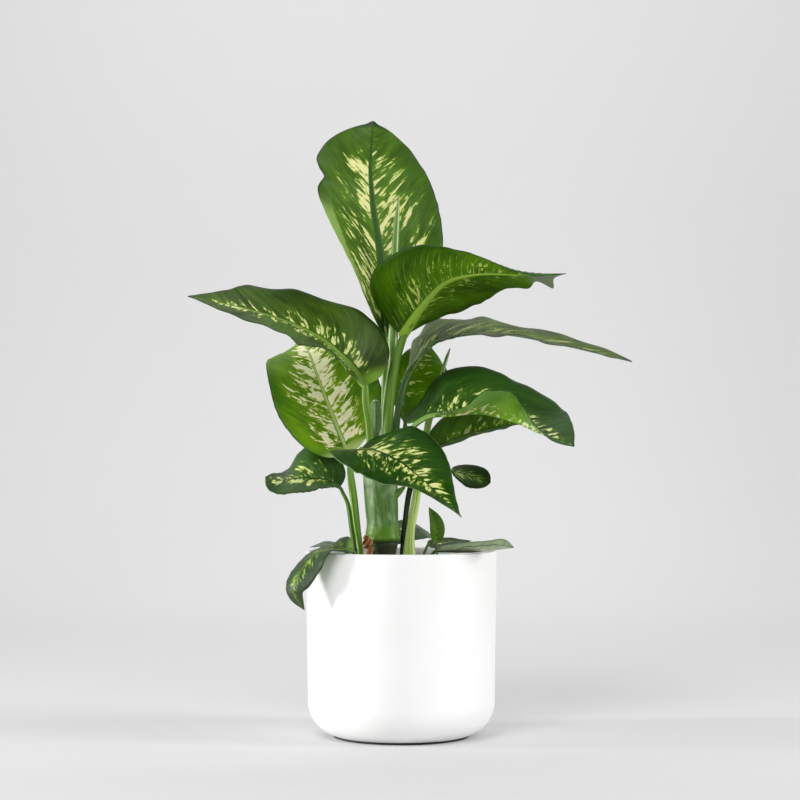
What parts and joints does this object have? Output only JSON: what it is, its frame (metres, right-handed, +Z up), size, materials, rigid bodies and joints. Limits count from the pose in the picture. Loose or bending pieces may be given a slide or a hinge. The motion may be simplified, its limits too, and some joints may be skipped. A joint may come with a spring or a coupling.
{
  "type": "potted dieffenbachia",
  "caption": "Broad-leaved house plant with cream-marked leaves on fleshy stems, growing in a round straight-sided planter filled with soil.",
  "frame": {"origin": "centre of the pot's foot, on the surface that it stands on", "axes": "+Z up along the pot's axis, +X to the right and -Y towards the viewer of the picture"},
  "size_m": [0.5034, 0.2506, 0.7211],
  "materials": {
    "pot": "satin white, smooth",
    "soil": "dark brown, crumbly and matt",
    "stem": "mid green, waxy, with pale mottling",
    "young_leaf": "pale green, waxy, rolled",
    "dry_skin": "brown, dry and papery",
    "leaf_dark": "deep green with cream marks along the side veins, waxy sheen",
    "leaf_mid": "rich green with cream marks beside the midrib, waxy sheen",
    "leaf_bright": "bright yellow-green with a broad cream zone, waxy and translucent"
  },
  "bodies": {
    "root": {"pot": "pot", "soil": "soil", "main_stem": "stem", "right_shoot": "stem", "leaf_top": "leaf_mid", "leaf_upper_right": "leaf_bright", "leaf_right_long": "leaf_dark", "leaf_left": "leaf_dark", "leaf_left_mid": "leaf_bright", "leaf_left_low": "leaf_dark", "leaf_front": "leaf_mid", "leaf_right_mid": "leaf_dark", "leaf_right_lower": "leaf_dark", "leaf_back_right": "leaf_bright", "leaf_small_right": "leaf_dark", "leaf_small_upright": "leaf_bright", "leaf_over_rim": "leaf_mid", "leaf_low_right": "leaf_dark", "leaf_low_back_right": "leaf_dark", "leaf_low_back": "leaf_mid", "leaf_on_back_rim": "leaf_dark", "free_sheath": "young_leaf", "dry_scale": "dry_skin", "spear_main": "young_leaf", "spear_right": "young_leaf"}
  },
  "joints": []
}
